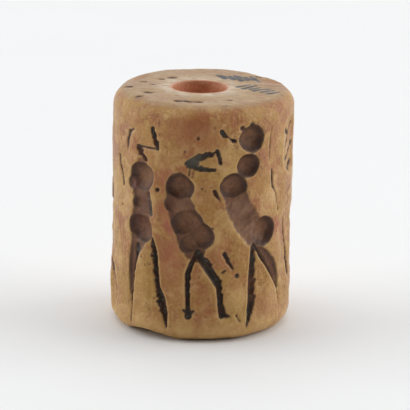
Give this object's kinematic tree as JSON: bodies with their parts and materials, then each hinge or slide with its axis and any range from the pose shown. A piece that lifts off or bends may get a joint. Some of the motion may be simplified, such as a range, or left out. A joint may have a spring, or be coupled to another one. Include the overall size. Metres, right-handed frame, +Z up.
{
  "type": "cylinder seal",
  "caption": "Small worn stone cylinder seal, pierced end to end for a cord, its side cut with a frieze of drilled and gouged stick figures.",
  "frame": {"origin": "centre of the seal's outline on the plane it stands on", "axes": "+Z up along the seal's axis and its bore, -Y towards the best side of the frieze, +X to that side's right"},
  "size_m": [0.0174, 0.0176, 0.0229],
  "materials": {
    "stone": "buff limestone, worn smooth and slightly waxy, with dark earth left in the cuts"
  },
  "bodies": {
    "root": {"cylinder_seal": "stone"}
  },
  "joints": []
}
